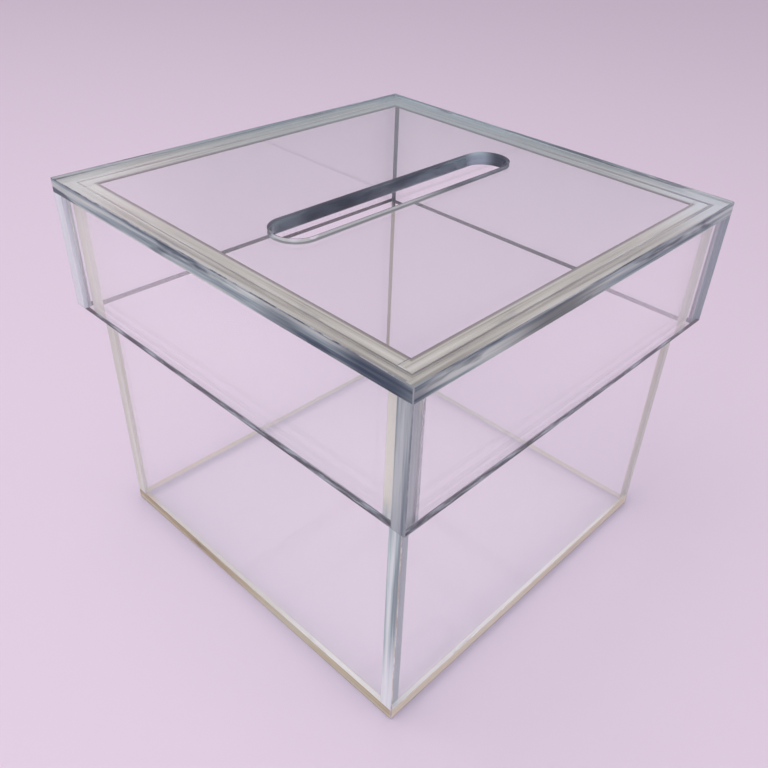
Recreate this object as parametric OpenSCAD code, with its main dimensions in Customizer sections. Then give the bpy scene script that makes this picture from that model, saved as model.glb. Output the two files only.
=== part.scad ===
// Donation box of clear sheet: an open-topped body of five cemented panels, and a lift-off lid
// of five more whose skirt drops over the rim. A stadium-shaped slot is routed through the lid.
// The origin is the middle of the underside, +Z is up and the slot runs along X.

/* [Body] */
// Outside width of the body, along X
body_w = 185; // [150:1:400]
// Outside depth of the body, along Y
body_d = 185; // [100:1:400]
// Height of the body from the table to its rim
body_h = 168; // [90:1:400]
// Thickness of the sheet in the four body walls
wall_t = 6; // [3:0.5:12]
// Thickness of the sheet in the floor
floor_t = 6; // [3:0.5:12]

/* [Lid] */
// Thickness of the sheet in the lid's top
lid_top_t = 6; // [3:0.5:12]
// Thickness of the sheet in the lid's skirt
skirt_t = 6; // [3:0.5:12]
// How far the skirt hangs below the underside of the lid's top
skirt_drop = 52; // [20:1:75]
// Gap between the skirt and the body walls, on each side
lid_clearance = 1.5; // [0.5:0.1:4]

/* [Slot] */
// Length of the slot from end to end
slot_l = 131; // [60:1:140]
// Width of the slot, and so the diameter of its round ends
slot_w = 18; // [6:0.5:40]
// Radius rolled over the slot's upper and lower rims
slot_roll = 1.6; // [0.3:0.1:2]

/* [Edges] */
// Width of the 45 degree flat scraped along every open sheet edge
edge_ease = 0.4; // [0.2:0.1:1]

/* [Hidden] */

// The walls stand on the floor, and the side walls fit between the front and back ones.
wall_h = body_h - floor_t;
side_wall_l = body_d - 2 * wall_t;

// The lid's top lies on the body's rim and on its own skirt, which is built like the walls.
lid_w = body_w + 2 * (lid_clearance + skirt_t);
lid_d = body_d + 2 * (lid_clearance + skirt_t);
skirt_z = body_h - skirt_drop;
side_skirt_l = lid_d - 2 * skirt_t;

// The slot's cutter runs this far past both faces of the lid's top.
cut_over = 1;
slot_r = slot_w / 2;
slot_straight = slot_l - slot_w;
round_fn = 96;

// Which edges of a sheet are open: flags in the order low-low, high-low, high-high, low-high.
NO_EDGES = [false, false, false, false];
ALL_EDGES = [true, true, true, true];
LOW_EDGES = [true, true, false, false];
HIGH_EDGES = [false, false, true, true];

// One corner of a rectangle, as one point or as the two ends of its 45 degree flat
function corner(at, toward_x, toward_y, open) =
    open ? [at + [0, toward_y * edge_ease], at + [toward_x * edge_ease, 0]] : [at];

// The same corner walked the other way round, so that the outline keeps its direction
function corner_back(at, toward_x, toward_y, open) =
    open ? [at + [toward_x * edge_ease, 0], at + [0, toward_y * edge_ease]] : [at];

// Rectangle centred on the origin, with a small flat at each corner that is open
module eased_rect(size, open) {
    x = size[0] / 2;
    y = size[1] / 2;
    polygon(concat(
        corner([-x, -y], 1, 1, open[0]),
        corner_back([x, -y], -1, 1, open[1]),
        corner([x, y], -1, -1, open[2]),
        corner_back([-x, y], 1, -1, open[3])
    ));
}

// One cut sheet standing on z = 0 and centred in X and Y. along_x, along_y and along_z say
// which of the four edges that run along that axis are open, and so are eased.
module sheet(size, along_x, along_y, along_z) {
    translate([0, 0, size[2] / 2])
    intersection() {
        rotate([90, 0, 90])
        linear_extrude(size[0], center = true)
        eased_rect([size[1], size[2]], along_x);

        rotate([90, 0, 0])
        linear_extrude(size[1], center = true)
        eased_rect([size[0], size[2]], along_y);

        linear_extrude(size[2], center = true)
        eased_rect([size[0], size[1]], along_z);
    }
}

// Half of the slot's cross-section: the polished wall with a roll at each rim
module slot_profile() {
    translate([0, -cut_over])
    square([slot_r, lid_top_t + 2 * cut_over]);
    for (side = [0, 1])
        translate([0, side * lid_top_t])
        mirror([0, side])
        difference() {
            translate([0, -cut_over])
            square([slot_r + slot_roll, slot_roll + cut_over]);
            translate([slot_r + slot_roll, slot_roll])
            circle(slot_roll, $fn = round_fn);
        }
}

// Solid of the slot, from z = 0 at the lid's underside
module slot_cutter() {
    for (end = [-1, 1])
        translate([end * slot_straight / 2, 0, 0])
        rotate_extrude($fn = round_fn)
        slot_profile();
    for (side = [0, 1])
        mirror([0, side, 0])
        rotate([90, 0, 90])
        linear_extrude(slot_straight, center = true)
        slot_profile();
}

// Floor of the body, which the four walls stand on
module floor_panel() {
    color("aliceblue", 0.5)
    sheet([body_w, body_d, floor_t], LOW_EDGES, LOW_EDGES, ALL_EDGES);
}

// Wall across the full width of the body, at its front
module wide_wall() {
    color("aliceblue", 0.5)
    translate([0, (wall_t - body_d) / 2, floor_t])
    sheet([body_w, wall_t, wall_h], HIGH_EDGES, HIGH_EDGES, LOW_EDGES);
}

// Wall that fits between the wide ones, at the body's left
module side_wall() {
    color("aliceblue", 0.5)
    translate([(wall_t - body_w) / 2, 0, floor_t])
    sheet([wall_t, side_wall_l, wall_h], NO_EDGES, HIGH_EDGES, NO_EDGES);
}

// Top of the lid, with the slot routed through its middle
module lid_top() {
    color("aliceblue", 0.5)
    translate([0, 0, body_h])
    difference() {
        sheet([lid_w, lid_d, lid_top_t], HIGH_EDGES, HIGH_EDGES, ALL_EDGES);
        slot_cutter();
    }
}

// Skirt panel across the full width of the lid, at its front
module wide_skirt() {
    color("aliceblue", 0.5)
    translate([0, (skirt_t - lid_d) / 2, skirt_z])
    sheet([lid_w, skirt_t, skirt_drop], LOW_EDGES, LOW_EDGES, LOW_EDGES);
}

// Skirt panel that fits between the wide ones, at the lid's left
module side_skirt() {
    color("aliceblue", 0.5)
    translate([(skirt_t - lid_w) / 2, 0, skirt_z])
    sheet([skirt_t, side_skirt_l, skirt_drop], NO_EDGES, LOW_EDGES, NO_EDGES);
}

module front_wall() {
    wide_wall();
}

module back_wall() {
    mirror([0, 1, 0])
    wide_wall();
}

module left_wall() {
    side_wall();
}

module right_wall() {
    mirror([1, 0, 0])
    side_wall();
}

module lid_front() {
    wide_skirt();
}

module lid_back() {
    mirror([0, 1, 0])
    wide_skirt();
}

module lid_left() {
    side_skirt();
}

module lid_right() {
    mirror([1, 0, 0])
    side_skirt();
}

floor_panel();
front_wall();
back_wall();
left_wall();
right_wall();
lid_top();
lid_front();
lid_back();
lid_left();
lid_right();
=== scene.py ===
import math

import bmesh
import bpy
import numpy as np
from mathutils import Matrix, Vector


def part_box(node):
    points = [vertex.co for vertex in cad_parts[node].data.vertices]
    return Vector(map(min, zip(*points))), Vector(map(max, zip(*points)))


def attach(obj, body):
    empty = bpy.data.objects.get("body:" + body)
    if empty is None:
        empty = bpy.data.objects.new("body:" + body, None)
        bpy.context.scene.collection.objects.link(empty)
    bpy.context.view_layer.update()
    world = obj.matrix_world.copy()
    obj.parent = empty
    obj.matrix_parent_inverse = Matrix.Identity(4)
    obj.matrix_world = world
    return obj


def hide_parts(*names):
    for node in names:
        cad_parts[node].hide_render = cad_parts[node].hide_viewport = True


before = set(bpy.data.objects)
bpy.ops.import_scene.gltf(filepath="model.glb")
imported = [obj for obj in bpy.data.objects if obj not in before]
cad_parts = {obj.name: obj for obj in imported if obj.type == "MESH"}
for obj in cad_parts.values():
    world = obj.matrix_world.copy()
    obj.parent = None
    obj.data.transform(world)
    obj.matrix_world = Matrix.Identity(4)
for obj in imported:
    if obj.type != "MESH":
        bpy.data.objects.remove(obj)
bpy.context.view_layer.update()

scene = bpy.context.scene
print("stage: frame loaded,", len(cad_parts), "sheets")

# How the sheets are cut and polished, in metres
sheetStyle = {
    "easedRadius": 0.0004,     # round that the polishing flame leaves on an open edge
    "easedSegments": 3,
    "jointAir": 0.00004,       # air left where one sheet is butted on another
    "inPlane": 0.000001,       # a corner this close to a face's plane lies in it
}
slotStyle = {
    "length": 0.131,
    "width": 0.018,
    "rollRadius": 0.0016,
    "rollSteps": 8,
    "straightSteps": 12,
    "endSteps": 48,            # a multiple of four
}


def linkedPiece(name, mesh):
    piece = bpy.data.objects.new(name, mesh)
    scene.collection.objects.link(piece)
    return piece


def meshFromQuads(name, vertices, quads, slotOfQuad, uvOfCorner):
    # one mesh from whole arrays: n by 3 places, m by 4 indices, m slots and m by 4 by 2 UVs
    mesh = bpy.data.meshes.new(name)
    mesh.vertices.add(len(vertices))
    mesh.vertices.foreach_set("co", np.asarray(vertices, dtype=np.float32).ravel())
    mesh.loops.add(4 * len(quads))
    mesh.loops.foreach_set("vertex_index", np.asarray(quads, dtype=np.int32).ravel())
    mesh.polygons.add(len(quads))
    mesh.polygons.foreach_set("loop_start", np.arange(0, 4 * len(quads), 4, dtype=np.int32))
    mesh.polygons.foreach_set("material_index", np.asarray(slotOfQuad, dtype=np.int32))
    mesh.update(calc_edges=True)
    layer = mesh.uv_layers.new(name="sheetRun")
    layer.data.foreach_set("uv", np.asarray(uvOfCorner, dtype=np.float32).ravel())
    mesh.validate()
    return mesh


# The eight corners of a sheet count as x + 2 y + 4 z, and each face lists four of them, wound to point
# outwards
sheetFaces = {
    "+x": (1, 3, 7, 5), "-x": (0, 4, 6, 2),
    "+y": (2, 6, 7, 3), "-y": (0, 1, 5, 4),
    "+z": (4, 5, 7, 6), "-z": (0, 2, 3, 1),
}


def sheetMesh(name, low, high, slotOfSide):
    # corner = low where its bit is clear and high where it is set, and each face runs over two axes
    bits = (np.arange(8)[:, None] >> np.arange(3)) & 1
    corners = np.where(bits == 1, high, low)
    thin = int(np.argmin(np.subtract(high, low)))
    quads, slots, uvs = [], [], []
    for side, face in sheetFaces.items():
        axis = "xyz".index(side[1])
        flat = [a for a in range(3) if a != axis]
        if axis != thin:
            flat.sort(key=lambda a: a == thin)    # u runs along the edge and v across the thickness
        quads.append(face)
        slots.append(slotOfSide.get(side, 0))
        uvs.append(corners[list(face)][:, flat])
    return meshFromQuads(name, corners, quads, slots, uvs)


def stadium(radius, z):
    # front straight, right half circle, back straight, left half circle: centre plus radius times (cos, sin)
    half = (slotStyle["length"] - slotStyle["width"]) / 2
    along = np.linspace(-half, half, slotStyle["straightSteps"] + 1)[:-1]
    angle = np.linspace(-math.pi / 2, math.pi / 2, slotStyle["endSteps"] + 1)[:-1]
    x = np.concatenate([along, half + radius * np.cos(angle), -along, -half - radius * np.cos(angle)])
    y = np.concatenate([np.full(len(along), -radius), radius * np.sin(angle),
                        np.full(len(along), radius), -radius * np.sin(angle)])
    return np.column_stack([x, y, np.full(len(x), z)])


def lidOutline(low, high, z):
    # the sheet's outline in as many steps as the slot's: half of each half circle's steps lie along a short
    # side, and a quarter of them along the rest of each long side
    half = (slotStyle["length"] - slotStyle["width"]) / 2
    quarter = slotStyle["endSteps"] // 4
    along = np.linspace(-half, half, slotStyle["straightSteps"] + 1)[:-1]
    out = np.linspace(half, high[0], quarter + 1)[:-1]
    up = np.linspace(low[1], high[1], 2 * quarter + 1)[:-1]
    back = out[::-1] + (out[1] - out[0])
    x = np.concatenate([along, out, np.full(len(up), high[0]), back])
    y = np.concatenate([np.full(len(along) + quarter, low[1]), up, np.full(quarter, high[1])])
    x = np.concatenate([x, -x])
    y = np.concatenate([y, -y])
    return np.column_stack([x, y, np.full(len(x), z)])


def slottedMesh(name, low, high, slotOfSide):
    # rings carried round the section: outline, upper roll, slot wall, lower roll, outline, and back again
    radius, roll = slotStyle["width"] / 2, slotStyle["rollRadius"]
    turn = np.linspace(0, math.pi / 2, slotStyle["rollSteps"] + 1)
    rings = [lidOutline(low, high, high[2])]
    rings += [stadium(radius + roll * (1 - math.sin(a)), high[2] - roll * (1 - math.cos(a))) for a in turn]
    rings += [stadium(radius + roll * (1 - math.cos(a)), low[2] + roll * (1 - math.sin(a))) for a in turn]
    rings += [lidOutline(low, high, low[2])]
    count, around = len(rings), len(rings[0])
    ring, step = np.meshgrid(np.arange(count), np.arange(around), indexing="ij")
    nextRing, nextStep = (ring + 1) % count, (step + 1) % around
    quads = np.stack([ring * around + step, ring * around + nextStep,
                      nextRing * around + nextStep, nextRing * around + step], axis=-1).reshape(-1, 4)
    slots = np.full((count, around), slotOfSide["slot"])
    slots[[0, count - 2]] = 0
    slots[count - 1] = slotOfSide["outline"]
    places = np.vstack(rings)
    # u is the length run along the ring, v the height: on the two flat faces they are x and y instead
    lengths = [np.linalg.norm(np.roll(each, -1, axis=0) - each, axis=1) for each in rings]
    run = np.column_stack([np.zeros(count), np.cumsum(lengths, axis=1)])
    # the run starts again at the outline's front left corner, where no streak crosses
    corner = around - slotStyle["endSteps"] // 4
    run = run - run[:, [corner]]
    lap = np.where(step < corner, 1, 0)
    whole = run[:, -1] - run[:, 0]
    u = np.stack([run[ring, step] + lap * whole[ring],
                  run[ring, step + 1] + lap * whole[ring],
                  run[nextRing, step + 1] + lap * whole[nextRing],
                  run[nextRing, step] + lap * whole[nextRing]], axis=-1)
    u = u.reshape(-1, 4)
    v = places[quads][:, :, 2]
    flat = (slots.ravel() == 0)[:, None]
    uvs = np.stack([np.where(flat, places[quads][:, :, 0], u), np.where(flat, places[quads][:, :, 1], v)],
                   axis=-1)
    return meshFromQuads(name, places, quads, slots.ravel(), uvs)


def easeEdges(piece, low, high, openEdges, smoothSlot, roundSlot):
    # an open edge lies in the planes of both faces that its four letters name, such as +z-y
    mesh = piece.data
    ends = np.zeros(2 * len(mesh.edges), dtype=np.int32)
    mesh.edges.foreach_get("vertices", ends)
    places = np.zeros(3 * len(mesh.vertices), dtype=np.float32)
    mesh.vertices.foreach_get("co", places)
    ends = places.reshape(-1, 3)[ends.reshape(-1, 2)]
    weights = np.zeros(len(mesh.edges), dtype=np.float32)
    for edge in openEdges.split():
        inPlane = np.ones(len(weights), dtype=bool)
        for sign, letter in (edge[:2], edge[2:]):
            axis = "xyz".index(letter)
            plane = (high if sign == "+" else low)[axis]
            inPlane &= np.all(np.abs(ends[:, :, axis] - plane) < sheetStyle["inPlane"], axis=1)
        weights[inPlane] = 1
    mesh.attributes.new("bevel_weight_edge", "FLOAT", "EDGE").data.foreach_set("value", weights)
    # every other border of a flat face stays crisp, and the slot's wall is smooth
    work = bmesh.new()
    work.from_mesh(mesh)
    sharp = [weights[edge.index] == 0 and any(face.material_index != smoothSlot for face in edge.link_faces)
             for edge in work.edges]
    work.free()
    mesh.attributes.new("sharp_edge", "BOOLEAN", "EDGE").data.foreach_set("value", sharp)
    bevel = piece.modifiers.new("flamePolish", "BEVEL")
    bevel.width = sheetStyle["easedRadius"]
    bevel.segments = sheetStyle["easedSegments"]
    bevel.limit_method = "WEIGHT"
    bevel.material = roundSlot
    bevel.harden_normals = True


def inlet(node, key):
    # a Mix node has one socket of each name for every kind of value, and only one of them is in use
    return next(socket for socket in node.inputs if socket.name == key and socket.enabled)


def outlet(node, key):
    return next(socket for socket in node.outputs if socket.name == key and socket.enabled)


def newNode(tree, kind, values=(), **settings):
    node = tree.nodes.new(kind)
    for key, value in settings.items():
        setattr(node, key, value)
    for key, value in dict(values).items():
        inlet(node, key).default_value = value
    return node


def newMaterial(name):
    material = bpy.data.materials.new(name)
    material.use_nodes = True
    material.node_tree.nodes.clear()
    return material, material.node_tree


def finishGlass(tree, surface, shadowColour, volume):
    # rays to the lamps and rays between matt surfaces pass straight, tinted, so that the floor stays lit
    link = tree.links.new
    path = newNode(tree, "ShaderNodeLightPath")
    through = newNode(tree, "ShaderNodeBsdfTransparent", {"Color": (*shadowColour, 1)})
    for ray in ("Is Shadow Ray", "Is Diffuse Ray"):
        mix = newNode(tree, "ShaderNodeMixShader")
        link(path.outputs[ray], mix.inputs["Fac"])
        link(surface, mix.inputs[1])
        link(through.outputs[0], mix.inputs[2])
        surface = mix.outputs[0]
    out = newNode(tree, "ShaderNodeOutputMaterial")
    link(surface, out.inputs["Surface"])
    link(volume, out.inputs["Volume"])


faceStyle = {
    "colour": (1, 1, 1), "ior": 1.49, "roughness": 0.0,
    "waveScale": 18, "waveDetail": 1.0, "waveStrength": 0.02, "waveDepth": 0.0004,
    "shadow": (1, 1, 1),
    "absorb": (0.78, 0.86, 0.88), "absorbDensity": 4.0,
    # the share of the light that a worn face scatters
    "haze": {"topFace": 0.01, "floorFace": 0.05, "wallFace": 0.035},
}


def polishedFace(name, haze):
    material, tree = newMaterial(name)
    link = tree.links.new
    place = newNode(tree, "ShaderNodeTexCoord")
    wave = newNode(tree, "ShaderNodeTexNoise", {
        "Scale": faceStyle["waveScale"], "Detail": faceStyle["waveDetail"]})
    bump = newNode(tree, "ShaderNodeBump",
                   {"Strength": faceStyle["waveStrength"], "Distance": faceStyle["waveDepth"]})
    glass = newNode(tree, "ShaderNodeBsdfPrincipled", {
        "Base Color": (*faceStyle["colour"], 1), "IOR": faceStyle["ior"], "Roughness": faceStyle["roughness"],
        "Transmission Weight": 1 - haze})
    absorb = newNode(tree, "ShaderNodeVolumeAbsorption",
                     {"Color": (*faceStyle["absorb"], 1), "Density": faceStyle["absorbDensity"]})
    link(place.outputs["Object"], wave.inputs["Vector"])
    link(wave.outputs["Fac"], bump.inputs["Height"])
    link(bump.outputs[0], glass.inputs["Normal"])
    finishGlass(tree, glass.outputs[0], faceStyle["shadow"], absorb.outputs[0])
    return material


polished = {name: polishedFace(name, haze) for name, haze in faceStyle["haze"].items()}

# How each kind of cut edge looks. tones run from the darkest streaks to the lightest: polish streaks in
# colours that are painted reflections. clear is the share of light let through by each of these two, streaks
# is how often they change along the edge and across it per metre, and blots are spots of painted dark
# reflection, fewer as blotFrom rises. gloss 0 is for an edge seen from inside its own sheet. Each painted
# zone lays painted light or shade by place: a direction, where along it the change starts and ends,
# a tone, how much of it is laid over the streaks, and the share let through. A painted spot, a painted
# highlight or a painted dark reflection, has a place and two distances from it instead, and a painted
# shade line is a dark line with half the side of a square and two distances from that square.
nearCorner, farCorner = (-0.707, -0.707, 0), (0.707, 0.707, 0)
leftCorner, rightCorner = (-0.5, 0.5, 0), (0.5, -0.5, 0)
toRear, toRight, upward = (0, 1, 0), (1, 0, 0), (0, 0, 1)
edgeStyles = {
    "plateEdge": {"tones": ((0.10, 0.15, 0.18), (0.37, 0.47, 0.47), (0.72, 0.80, 0.73)),
                  "clear": (0.05, 0.30),
                  "streaks": (10, 330), "blot": (0.04, 0.07, 0.10), "blotFrom": 0.52,
                  "roughness": 0.12, "gloss": 0.2,
                  "paintedZones": (((-1, -0.15, 0), 0.105, 0.113, (0.05, 0.075, 0.125), 0.4, 0.05),),
                  # painted dark reflections on the plate's left and front edges
                  "paintedSpots": (((-0.1, -0.086, 0.171), 0.022, 0.006, (0.025, 0.045, 0.08), 0.8, 0.05),
                             ((-0.1, -0.045, 0.168), 0.018, 0.002, (0.04, 0.06, 0.09), 0.5, 0.05),
                             ((-0.03, -0.1, 0.166), 0.040, 0.006, (0.03, 0.05, 0.05), 0.75, 0.05))},
    "rimEdge": {"tones": ((0.34, 0.31, 0.27), (0.60, 0.56, 0.48), (0.82, 0.77, 0.70)), "clear": (0.05, 0.25),
                "streaks": (8, 480), "blot": (0.26, 0.27, 0.28), "blotFrom": 0.68,
                "roughness": 0.25, "gloss": 0.5,
                "paintedZones": ((toRear, 0.080, 0.086, (0.50, 0.52, 0.48), 0.4, 0.05),
                          (toRight, 0.080, 0.086, (0.42, 0.48, 0.51), 0.5, 0.05)),
                # painted highlights at the right and left corners of the rim band
                "paintedSpots": (((0.1, -0.1, 0.171), 0.060, 0.010, (0.80, 0.88, 0.94), 0.6, 0.05),
                           ((-0.1, 0.1, 0.171), 0.050, 0.010, (0.80, 0.86, 0.80), 0.5, 0.05)),
                "paintedShadeLines": ((0.0870, 0.0016, 0.0006, (0.15, 0.11, 0.11), 0.75, 0.05),)},
    "lidPost": {"tones": ((0.14, 0.19, 0.22), (0.33, 0.40, 0.41), (0.58, 0.66, 0.64)), "clear": (0.05, 0.20),
                "streaks": (10, 260), "blot": (0.13, 0.18, 0.22), "blotFrom": 0.72,
                "roughness": 0.15, "gloss": 0.5,
                "paintedZones": ((leftCorner, 0.02, 0.08, (0.92, 1.0, 1.0), 0.75, 0.05),
                          (rightCorner, 0.02, 0.08, (0.22, 0.34, 0.37), 0.8, 0.02),
                          (farCorner, 0.09, 0.13, (0.05, 0.06, 0.07), 0.9, 0.05))},
    "bodyPost": {"tones": ((0.24, 0.32, 0.33), (0.52, 0.66, 0.64), (0.92, 1.0, 0.97)), "clear": (0.08, 0.35),
                 "streaks": (9, 320), "blot": (0.22, 0.23, 0.21), "blotFrom": 0.72,
                 "roughness": 0.12, "gloss": 0.5,
                 "paintedZones": ((farCorner, 0.09, 0.12, (0.56, 0.42, 0.31), 0.8, 0.05),
                           (leftCorner, 0.02, 0.08, (0.72, 0.74, 0.62), 0.85, 0.03),
                           (rightCorner, 0.02, 0.08, (0.72, 0.71, 0.57), 0.85, 0.03),
                           ((-1, -1, -1), 0.125, 0.165, (0.96, 1.0, 1.0), 0.7, 0.05),
                           # the cream that the post shows through the lid's skirt, painted on the post where
                           # the skirt covers it
                           (upward, 0.112, 0.124, (0.84, 0.88, 0.70), 1, 0.05))},
    "skirtEdge": {"tones": ((0.010, 0.015, 0.024), (0.035, 0.045, 0.06), (0.30, 0.34, 0.38)),
                  "clear": (0.0, 0.10),
                  "streaks": (80, 260), "blot": (0.02, 0.02, 0.03), "blotFrom": 0.60,
                  "roughness": 0.15, "gloss": 0,
                  "paintedZones": ((toRear, 0.085, 0.094, (0.02, 0.014, 0.014), 0.95, 0.0),
                            (toRight, 0.085, 0.094, (0.012, 0.014, 0.02), 0.95, 0.0))},
    "floorEdge": {"tones": ((0.40, 0.33, 0.17), (0.68, 0.62, 0.38), (0.87, 0.85, 0.60)),
                  "clear": (0.10, 0.40),
                  "streaks": (8, 420), "blot": (0.22, 0.16, 0.10), "blotFrom": 0.68,
                  "roughness": 0.2, "gloss": 0.5,
                  "paintedZones": (((0, -1, 0), 0.0915, 0.0924, (0.98, 0.92, 0.70), 0.6, 0.05),
                            ((0, 0, -1), -0.0016, -0.0006, (0.30, 0.22, 0.17), 0.5, 0.05))},
    "footJoint": {"tones": ((0.74, 0.70, 0.60), (0.93, 0.92, 0.86), (1.0, 1.0, 0.98)), "clear": (0.05, 0.40),
                  "streaks": (10, 300), "blot": (0.55, 0.50, 0.38), "blotFrom": 0.66,
                  "roughness": 0.2, "gloss": 0,
                  "paintedZones": (((-0.3, 1, 0), -0.03, 0.015, (0.64, 0.60, 0.52), 0.75, 0.1),
                            (toRear, 0.07, 0.085, (0.62, 0.50, 0.37), 0.85, 0.1),
                            (toRight, 0.07, 0.085, (0.60, 0.50, 0.38), 0.8, 0.1))},
    "bodyJoint": {"tones": ((0.32, 0.31, 0.24), (0.65, 0.66, 0.52), (0.87, 0.92, 0.78)),
                  "clear": (0.08, 0.35),
                  "streaks": (10, 420), "blot": (0.24, 0.26, 0.24), "blotFrom": 0.68,
                  "roughness": 0.15, "gloss": 0,
                  "paintedZones": ((nearCorner, 0.10, 0.12, (0.34, 0.45, 0.49), 0.8, 0.10),
                            (leftCorner, 0.02, 0.08, (0.72, 0.74, 0.62), 0.85, 0.03),
                            (rightCorner, 0.02, 0.08, (0.72, 0.71, 0.57), 0.85, 0.03),
                            # the cream that the joint shows through the lid's skirt, painted on it where the
                            # skirt covers it
                            (upward, 0.112, 0.124, (0.84, 0.88, 0.70), 0.9, 0.05),
                            (farCorner, 0.09, 0.12, (0.56, 0.42, 0.31), 0.8, 0.05),
                            ((-1, -1, 1), 0.285, 0.295, (1, 1, 1), 1, 0.95),
                            ((1, 1, 1), 0.285, 0.295, (0.06, 0.07, 0.09), 0.95, 0.05))},
    "lidJoint": {"tones": ((0.15, 0.20, 0.25), (0.38, 0.47, 0.52), (0.80, 0.90, 0.92)), "clear": (0.05, 0.20),
                 "streaks": (10, 420), "blot": (0.13, 0.18, 0.22), "blotFrom": 0.70,
                 "roughness": 0.15, "gloss": 0,
                 "paintedZones": ((leftCorner, 0.02, 0.08, (0.92, 1.0, 1.0), 0.75, 0.05),
                           (rightCorner, 0.02, 0.08, (0.22, 0.34, 0.37), 0.8, 0.02),
                           (nearCorner, 0.10, 0.12, (0.42, 0.49, 0.47), 0.8, 0.05),
                           (farCorner, 0.09, 0.13, (0.05, 0.06, 0.075), 0.9, 0.05))},
    "slotEdge": {"tones": ((0.03, 0.04, 0.06), (0.10, 0.12, 0.16), (0.40, 0.45, 0.50)), "clear": (0.40, 0.75),
                 "streaks": (15, 60), "blot": (0.02, 0.03, 0.05), "blotFrom": 0.60,
                 "roughness": 0.06, "gloss": 0.5,
                 "paintedZones": (((-1, -8, 0), 0.045, 0.075, (0.78, 0.84, 0.77), 0.9, 0.1),
                           (toRight, 0.0620, 0.0640, (0.03, 0.04, 0.06), 0.85, 0.1),
                           (upward, 0.1733, 0.1737, (0.06, 0.05, 0.07), 0.75, 0.1),
                           ((0, 0, -1), -0.1690, -0.1685, (0.10, 0.07, 0.09), 0.7, 0.1)),
                 # a lighter painted reflection at the slot's right end and painted highlights round its left
                 # end
                 "paintedSpots": (((0.0600, 0.0080, 0.171), 0.0090, 0.0020, (0.56, 0.64, 0.70), 0.75, 0.2),
                            ((-0.0655, 0.0020, 0.171), 0.0040, 0.0015, (0.95, 1.0, 1.0), 0.8, 0.1),
                            ((-0.0625, -0.0060, 0.171), 0.0032, 0.0010, (0.95, 1.0, 1.0), 0.7, 0.1),
                            ((-0.0555, -0.0090, 0.171), 0.0028, 0.0016, (1.0, 1.0, 1.0), 1.0, 0.0))},
    "easedEdge": {"tones": ((0.06, 0.08, 0.11), (0.34, 0.37, 0.40), (0.97, 0.97, 0.96)),
                  "clear": (0.20, 0.70),
                  "streaks": (26, 200), "blot": (0.05, 0.06, 0.09), "blotFrom": 0.60,
                  "roughness": 0.1, "gloss": 0.5,
                  "paintedZones": (((-1, -1, 0), 0.185, 0.195, (0.26, 0.32, 0.34), 0.8, 0.1),
                            ((0, 1, -1), -0.035, -0.025, (0.02, 0.014, 0.014), 0.95, 0.0),
                            ((1, 0, -1), -0.035, -0.025, (0.012, 0.014, 0.02), 0.95, 0.0))},
    "bodyEased": {"tones": ((0.42, 0.40, 0.35), (0.60, 0.58, 0.52), (0.94, 0.93, 0.88)),
                  "clear": (0.05, 0.30),
                  "streaks": (26, 200), "blot": (0.20, 0.20, 0.20), "blotFrom": 0.66,
                  "roughness": 0.1, "gloss": 0.5,
                  "paintedShadeLines": ((0.0865, 0.0010, 0.0006, (0.08, 0.06, 0.065), 0.9, 0.05),)},
    "cementBead": {"tones": ((0.34, 0.31, 0.27), (0.58, 0.54, 0.47), (0.80, 0.76, 0.69)),
                   "clear": (0.05, 0.25),
                   "streaks": (10, 300), "blot": (0.26, 0.27, 0.28), "blotFrom": 0.68,
                   "roughness": 0.2, "gloss": 0.5,
                   "paintedZones": (((-1, -1, -1), 0.020, 0.030, (0.40, 0.46, 0.47), 0.9, 0.05),
                             (leftCorner, 0.078, 0.088, (0.82, 0.88, 0.82), 0.9, 0.05),
                             (rightCorner, 0.078, 0.088, (0.30, 0.36, 0.42), 0.8, 0.05))},
}
edgeRelief = {
    "bump": 0.12, "depth": 0.0003,
    "streakRange": (0.34, 0.64), "streakDetail": 4.0, "streakRoughness": 0.6,
    "blots": (26, 150), "blotShift": (3.7, 1.9), "blotDetail": 3.0, "blotBend": 0.2,
    "blotShare": 0.85, "blotSoftness": 0.12,
    "shadow": (0.80, 0.82, 0.84),
    # cooler towards the back, in metres from the middle
    "backTint": (0.80, 0.93, 0.98), "backFrom": (0.0, 0.1),
}


def measured(tree, place, measure, origin):
    # painted zones: place dot direction; painted spots: distance from a place; painted shade lines: |
    # max(|x|, |y|) - half side |
    link = tree.links.new
    if measure != "paintedShadeLines":
        operation = "DOT_PRODUCT" if measure == "paintedZones" else "DISTANCE"
        along = newNode(tree, "ShaderNodeVectorMath", operation=operation)
        along.inputs[1].default_value = origin
        link(place, along.inputs[0])
        return along.outputs["Value"]
    size = newNode(tree, "ShaderNodeVectorMath", operation="ABSOLUTE")
    split = newNode(tree, "ShaderNodeSeparateXYZ")
    larger = newNode(tree, "ShaderNodeMath", operation="MAXIMUM")
    beyond = newNode(tree, "ShaderNodeMath", operation="SUBTRACT")
    beyond.inputs[1].default_value = origin
    away = newNode(tree, "ShaderNodeMath", operation="ABSOLUTE")
    link(place, size.inputs[0])
    link(size.outputs[0], split.inputs[0])
    link(split.outputs["X"], larger.inputs[0])
    link(split.outputs["Y"], larger.inputs[1])
    link(larger.outputs[0], beyond.inputs[0])
    link(beyond.outputs[0], away.inputs[0])
    return away.outputs[0]


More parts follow.
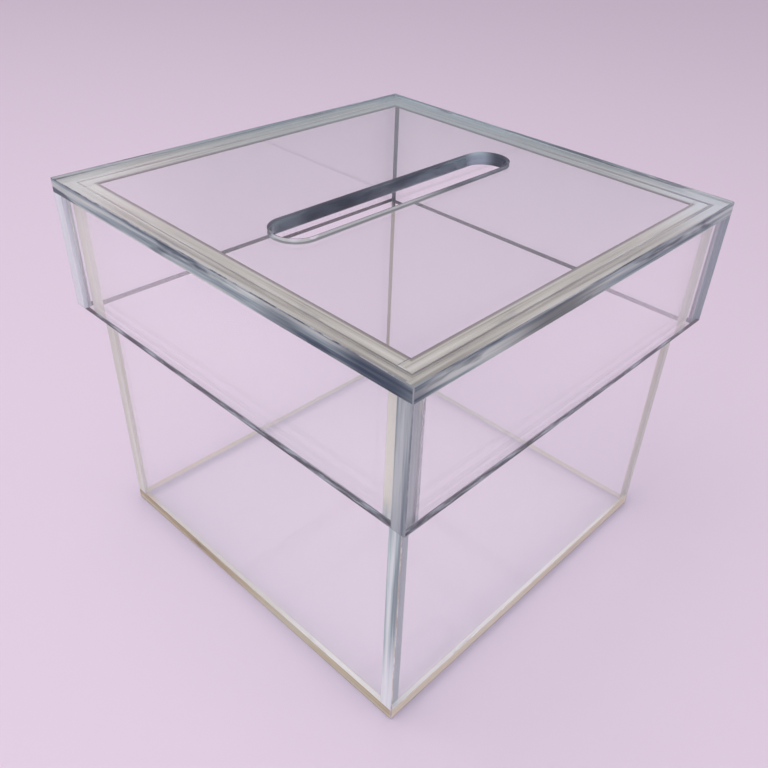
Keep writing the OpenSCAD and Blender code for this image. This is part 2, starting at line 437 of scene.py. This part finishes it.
def cutEdge(name, style):
    material, tree = newMaterial(name)
    link = tree.links.new
    darkest, lightest = edgeRelief["streakRange"]
    run = newNode(tree, "ShaderNodeUVMap", uv_map="sheetRun")
    stretch = newNode(tree, "ShaderNodeMapping", {"Scale": (*style["streaks"], 1)})
    streak = newNode(tree, "ShaderNodeTexNoise", {
        "Scale": 1.0, "Detail": edgeRelief["streakDetail"], "Roughness": edgeRelief["streakRoughness"]},
        noise_dimensions="2D")
    bump = newNode(tree, "ShaderNodeBump", {"Strength": edgeRelief["bump"], "Distance": edgeRelief["depth"]})
    # polish streaks in tones that are painted reflections
    tone = newNode(tree, "ShaderNodeValToRGB")
    stops = tone.color_ramp.elements
    stops.new(0.5)
    for stop, place, colour in zip(stops, (darkest, (darkest + lightest) / 2, lightest), style["tones"]):
        stop.position, stop.color = place, (*colour, 1)
    clear = newNode(tree, "ShaderNodeMapRange", {
        "From Min": darkest, "From Max": lightest, "To Min": style["clear"][0], "To Max": style["clear"][1]})
    spread = newNode(tree, "ShaderNodeMapping", {
        "Scale": (*edgeRelief["blots"], 1), "Location": (*edgeRelief["blotShift"], 0)})
    spots = newNode(tree, "ShaderNodeTexNoise", {
        "Scale": 1.0, "Detail": edgeRelief["blotDetail"], "Distortion": edgeRelief["blotBend"]},
        noise_dimensions="2D")
    blots = newNode(tree, "ShaderNodeMapRange", {
        "From Min": style["blotFrom"], "From Max": style["blotFrom"] + edgeRelief["blotSoftness"],
        "To Max": edgeRelief["blotShare"]})
    # blots of painted dark reflection laid over the streaks
    reflectionBlots = newNode(tree, "ShaderNodeMix", {"B": (*style["blot"], 1)}, data_type="RGBA")
    where = newNode(tree, "ShaderNodeTexCoord")
    farther = newNode(tree, "ShaderNodeVectorMath", operation="DOT_PRODUCT")
    farther.inputs[1].default_value = farCorner
    back = newNode(tree, "ShaderNodeMapRange", dict(zip(("From Min", "From Max"), edgeRelief["backFrom"])),
                   interpolation_type="SMOOTHSTEP")
    tint = newNode(tree, "ShaderNodeMix", {"B": (*edgeRelief["backTint"], 1)},
                   data_type="RGBA", blend_type="MULTIPLY")
    glass = newNode(tree, "ShaderNodeBsdfPrincipled", {
        "IOR": faceStyle["ior"], "Roughness": style["roughness"], "Specular IOR Level": style["gloss"]})
    absorb = newNode(tree, "ShaderNodeVolumeAbsorption",
                     {"Color": (*faceStyle["absorb"], 1), "Density": faceStyle["absorbDensity"]})
    link(run.outputs[0], stretch.inputs["Vector"])
    link(stretch.outputs[0], streak.inputs["Vector"])
    link(streak.outputs["Fac"], bump.inputs["Height"])
    link(streak.outputs["Fac"], tone.inputs["Fac"])
    link(streak.outputs["Fac"], clear.inputs["Value"])
    link(run.outputs[0], spread.inputs["Vector"])
    link(spread.outputs[0], spots.inputs["Vector"])
    link(spots.outputs["Fac"], blots.inputs["Value"])
    link(blots.outputs["Result"], inlet(reflectionBlots, "Factor"))
    link(tone.outputs[0], inlet(reflectionBlots, "A"))
    colour = outlet(reflectionBlots, "Result")
    openness = clear.outputs["Result"]
    # painted zones, spots and shade lines lay painted highlights, reflections and shade over the streaks
    for measure in ("paintedZones", "paintedSpots", "paintedShadeLines"):
        for origin, start, end, zoneTone, share, zoneClear in style.get(measure, ()):
            reach = newNode(tree, "ShaderNodeMapRange", {"From Min": start, "From Max": end, "To Max": share},
                            interpolation_type="SMOOTHSTEP")
            overlay = newNode(tree, "ShaderNodeMix", {"B": (*zoneTone, 1)}, data_type="RGBA")
            closing = newNode(tree, "ShaderNodeMix", {"B": zoneClear}, data_type="FLOAT")
            link(measured(tree, where.outputs["Object"], measure, origin), reach.inputs["Value"])
            link(reach.outputs["Result"], inlet(overlay, "Factor"))
            link(reach.outputs["Result"], inlet(closing, "Factor"))
            link(colour, inlet(overlay, "A"))
            link(openness, inlet(closing, "A"))
            colour, openness = outlet(overlay, "Result"), outlet(closing, "Result")
    link(where.outputs["Object"], farther.inputs[0])
    link(farther.outputs["Value"], back.inputs["Value"])
    link(back.outputs["Result"], inlet(tint, "Factor"))
    link(colour, inlet(tint, "A"))
    link(outlet(tint, "Result"), glass.inputs["Base Color"])
    link(openness, glass.inputs["Transmission Weight"])
    link(bump.outputs[0], glass.inputs["Normal"])
    finishGlass(tree, glass.outputs[0], edgeRelief["shadow"], absorb.outputs[0])
    return material


edges = {name: cutEdge(name, style) for name, style in edgeStyles.items()}


def addSheet(node, body, openEdges, airSides, face, finish):
    # finish names the material of each cut side, and a side in airSides is moved in by the joint's air
    low, high = (np.array(corner, dtype=float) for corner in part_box(node))
    for side in airSides.split():
        axis = "xyz".index(side[1])
        if side[0] == "-":
            low[axis] += sheetStyle["jointAir"]
        else:
            high[axis] -= sheetStyle["jointAir"]
    eased = edges["easedEdge" if body == "lid" else "bodyEased"]
    kinds = [face] + [edges[name] for name in dict.fromkeys(finish.values())] + [eased]
    slotOfSide = {side: kinds.index(edges[name]) for side, name in finish.items()}
    build = slottedMesh if "slot" in finish else sheetMesh
    mesh = build("clear_" + node, low, high, slotOfSide)
    piece = linkedPiece("clear_" + node, mesh)
    for material in kinds:
        mesh.materials.append(material)
    easeEdges(piece, low, high, openEdges, slotOfSide.get("slot"), len(kinds) - 1)
    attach(piece, body)
    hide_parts(node)
    return piece


aroundTop, aroundFoot = "+z-x +z+x +z-y +z+y", "-z-x -z+x -z-y -z+y"
uprights = "-x-y +x-y -x+y +x+y"

addSheet("floor_panel", "box", aroundFoot + " " + uprights, "", polished["floorFace"],
         {"-x": "floorEdge", "+x": "floorEdge", "-y": "floorEdge", "+y": "floorEdge"})
wide = {"+z": "rimEdge", "-z": "footJoint", "-x": "bodyPost", "+x": "bodyPost"}
addSheet("front_wall", "box", aroundTop + " -x-y +x-y", "-z +z", polished["wallFace"], wide)
addSheet("back_wall", "box", aroundTop + " -x+y +x+y", "-z +z", polished["wallFace"], wide)
narrow = {"+z": "rimEdge", "-z": "footJoint", "-y": "bodyJoint", "+y": "bodyJoint"}
addSheet("left_wall", "box", "+z-x +z+x", "-z -y +y +z", polished["wallFace"], narrow)
addSheet("right_wall", "box", "+z-x +z+x", "-z -y +y +z", polished["wallFace"], narrow)
addSheet("lid_top", "lid", aroundTop + " " + uprights, "", polished["topFace"],
         {"outline": "plateEdge", "slot": "slotEdge"})
wide = {"+z": "rimEdge", "-z": "skirtEdge", "-x": "lidPost", "+x": "lidPost"}
addSheet("lid_front", "lid", aroundFoot + " -x-y +x-y", "+z", polished["wallFace"], wide)
addSheet("lid_back", "lid", aroundFoot + " -x+y +x+y", "+z", polished["wallFace"], wide)
narrow = {"+z": "rimEdge", "-z": "skirtEdge", "-y": "lidJoint", "+y": "lidJoint"}
addSheet("lid_left", "lid", "-z-x -z+x", "+z -y +y", polished["wallFace"], narrow)
addSheet("lid_right", "lid", "-z-x -z+x", "+z -y +y", polished["wallFace"], narrow)
print("stage: sheets built")

beadStyle = {
    "reach": 0.0014,       # how far the cement stands out from the skirt and down from the lid's top
    "arcSteps": 6,         # an even number
    "footRise": 0.0005,    # where the upright runs end above the foot of the skirt
}


def addCementBead():
    # a hollow quarter round swept round the inside corner: radius in from the skirt and down from the top
    low, high = (np.array(corner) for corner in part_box("lid_front"))
    air, reach = sheetStyle["jointAir"], beadStyle["reach"]
    half, top = -high[1] - air, high[2] - air
    angle = np.linspace(0, math.pi / 2, beadStyle["arcSteps"] + 1)
    out = np.concatenate([[half], half - reach * (1 - np.cos(angle))])
    up = np.concatenate([[top], top - reach * (1 - np.sin(angle))])
    signs = np.array([(-1, -1), (1, -1), (1, 1), (-1, 1)])
    places = np.concatenate([np.column_stack([out * x, out * y, up]) for x, y in signs])
    count = len(out)
    side, step = np.meshgrid(np.arange(4), np.arange(count), indexing="ij")
    nextSide, nextStep = (side + 1) % 4, (step + 1) % count
    quads = np.stack([side * count + step, side * count + nextStep,
                      nextSide * count + nextStep, nextSide * count + step], axis=-1).reshape(-1, 4)
    across = places[quads]
    along = np.where(side.reshape(-1, 1) % 2 == 0, across[:, :, 0], across[:, :, 1])
    runs = [(places, quads, np.stack([along, across[:, :, 2]], axis=-1))]
    # the same section stood upright in each corner, from the first run down to the foot of the skirt
    levels = (low[2] + beadStyle["footRise"], top - reach - air)
    for x, y in signs:
        section = np.column_stack([x * out, y * (half - (top - up))])
        upright = np.concatenate([np.column_stack([section, np.full(count, z)]) for z in levels])
        first, second = np.arange(count), (np.arange(count) + 1) % count
        walls = np.stack([first, second, second + count, first + count], axis=-1)
        fan = np.stack([np.zeros(count // 2 - 1, int), 2 * np.arange(count // 2 - 1) + 1,
                        2 * np.arange(count // 2 - 1) + 2, 2 * np.arange(count // 2 - 1) + 3], axis=-1)
        faces = np.concatenate([walls, fan[:, ::-1], fan + count])
        if x * y > 0:
            faces = faces[:, ::-1]
        across = upright[faces]
        runs.append((upright, faces, np.stack([across[:, :, 2], across[:, :, 0]], axis=-1)))
    starts = np.cumsum([0] + [len(run[0]) for run in runs])
    quads = np.concatenate([run[1] + start for run, start in zip(runs, starts)])
    mesh = meshFromQuads("cementBead", np.concatenate([run[0] for run in runs]), quads, np.zeros(len(quads)),
                         np.concatenate([run[2] for run in runs]))
    mesh.materials.append(edges["cementBead"])
    piece = linkedPiece("cementBead", mesh)
    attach(piece, "lid")


addCementBead()
print("stage: cement added")

studio = {
    "floorColour": (0.775, 0.65, 0.76), "floorRoughness": 0.6,
    "floorRadius": 6.0, "floorSteps": 96, "floorDrop": 0.0002,
    # the walls' tones by the sine of the angle above the horizon, from where the floor ends upwards
    "walls": ((0.0, (0.51, 0.41, 0.51)), (0.22, (0.66, 0.56, 0.65)),
              (0.45, (0.66, 0.56, 0.65)), (0.75, (0.62, 0.62, 0.66))),
    "cardColour": (0.36, 0.35, 0.40), "cardTurn": 41, "cardLift": 20, "cardReach": (23, 12),
    # each lamp's place, what it points at, its width and height, and its power in watts
    "softboxes": {
        "overheadSoftbox": ((-0.35, 0.25, 1.4), (0, 0, 0), (1.1, 1.1), 7.0),
        "leftSoftbox": ((-1.3, -0.1, 0.8), (0, 0, 0.08), (0.5, 1.0), 2.5),
        "rightSoftbox": ((0.5, -1.3, 0.7), (0, 0, 0.08), (0.8, 0.6), 2.0),
    },
    "bounces": 96,         # light crosses many faces before it is out of the box again
}


def buildFloor():
    # a flat disc: radius times (cos, sin), just below the foot of the box
    steps = studio["floorSteps"]
    angle = np.linspace(0, 2 * math.pi, steps + 1)[:-1]
    ring = np.column_stack([np.cos(angle), np.sin(angle), np.zeros(steps)]) * studio["floorRadius"]
    ring[:, 2] = -studio["floorDrop"]
    mesh = bpy.data.meshes.new("tableTop")
    mesh.from_pydata(ring.tolist(), [], [list(range(steps))])
    floor = linkedPiece("tableTop", mesh)
    material, tree = newMaterial("tablePaint")
    paint = newNode(tree, "ShaderNodeBsdfPrincipled", {
        "Base Color": (*studio["floorColour"], 1), "Roughness": studio["floorRoughness"]})
    out = newNode(tree, "ShaderNodeOutputMaterial")
    tree.links.new(paint.outputs[0], out.inputs["Surface"])
    mesh.materials.append(material)


def buildWorld():
    world = bpy.data.worlds.new("studioWorld")
    scene.world = world
    world.use_nodes = True
    tree = world.node_tree
    tree.nodes.clear()
    link = tree.links.new
    place = newNode(tree, "ShaderNodeTexCoord")
    split = newNode(tree, "ShaderNodeSeparateXYZ")
    walls = newNode(tree, "ShaderNodeValToRGB")
    stops = walls.color_ramp.elements
    walls.color_ramp.interpolation = "EASE"
    for _ in studio["walls"][2:]:
        stops.new(0.5)
    for stop, (height, tone) in zip(stops, studio["walls"]):
        stop.position, stop.color = height, (*tone, 1)
    # a darker card behind the box and above the view, for the polished faces and edges to mirror
    turn, lift = math.radians(studio["cardTurn"]), math.radians(studio["cardLift"])
    toCard = (math.cos(turn) * math.cos(lift), math.sin(turn) * math.cos(lift), math.sin(lift))
    near = newNode(tree, "ShaderNodeVectorMath", operation="DOT_PRODUCT")
    near.inputs[1].default_value = toCard
    edge, core = (math.cos(math.radians(reach)) for reach in studio["cardReach"])
    card = newNode(tree, "ShaderNodeMapRange", {"From Min": edge, "From Max": core},
                   interpolation_type="SMOOTHSTEP")
    mix = newNode(tree, "ShaderNodeMix", {"B": (*studio["cardColour"], 1)}, data_type="RGBA")
    light = newNode(tree, "ShaderNodeBackground")
    out = newNode(tree, "ShaderNodeOutputWorld")
    link(place.outputs["Generated"], split.inputs[0])
    link(place.outputs["Generated"], near.inputs[0])
    link(split.outputs["Z"], walls.inputs["Fac"])
    link(near.outputs["Value"], card.inputs["Value"])
    link(card.outputs["Result"], inlet(mix, "Factor"))
    link(walls.outputs["Color"], inlet(mix, "A"))
    link(outlet(mix, "Result"), light.inputs["Color"])
    link(light.outputs[0], out.inputs["Surface"])


def addLamp(name, place, aim, size, power):
    lamp = bpy.data.lights.new(name, "AREA")
    lamp.shape, lamp.size, lamp.size_y = "RECTANGLE", *size
    lamp.energy = power
    holder = bpy.data.objects.new(name, lamp)
    scene.collection.objects.link(holder)
    # its outline would show as a hard patch in every polished face
    holder.visible_glossy = holder.visible_transmission = False
    holder.location = place
    holder.rotation_euler = (Vector(aim) - Vector(place)).to_track_quat("-Z", "Y").to_euler()


cameraStyle = {
    "azimuth": -49.166, "elevation": 36.154, "roll": 3.635, "distance": 0.64528,
    "target": (0.159765, 0.12512, -0.082157),
    "lens": 37.5586, "shiftX": -0.03575, "shiftY": 0.02386, "clipStart": 0.01,
}


def buildCamera():
    data = bpy.data.cameras.new("studioCamera")
    data.lens, data.shift_x, data.shift_y = cameraStyle["lens"], cameraStyle["shiftX"], cameraStyle["shiftY"]
    data.clip_start = cameraStyle["clipStart"]
    camera = bpy.data.objects.new("studioCamera", data)
    scene.collection.objects.link(camera)
    turn, lift, roll = (math.radians(cameraStyle[k]) for k in ("azimuth", "elevation", "roll"))
    back = Vector((math.sin(turn) * math.cos(lift), -math.cos(turn) * math.cos(lift), math.sin(lift)))
    right = Vector((0, 0, 1)).cross(back).normalized()
    up = back.cross(right)
    columns = (right * math.cos(roll) + up * math.sin(roll),
               up * math.cos(roll) - right * math.sin(roll), back)
    pose = Matrix(columns).transposed().to_4x4()
    pose.translation = Vector(cameraStyle["target"]) + back * cameraStyle["distance"]
    camera.matrix_world = pose
    scene.camera = camera


buildFloor()
buildWorld()
for lampName, lampValues in studio["softboxes"].items():
    addLamp(lampName, *lampValues)
buildCamera()
scene.view_settings.view_transform = "Standard"
scene.cycles.max_bounces = studio["bounces"]
scene.cycles.transmission_bounces = studio["bounces"]
scene.cycles.transparent_max_bounces = studio["bounces"]
scene.cycles.glossy_bounces = studio["bounces"]
scene.cycles.caustics_refractive = False
scene.cycles.caustics_reflective = False
print("stage: studio built")
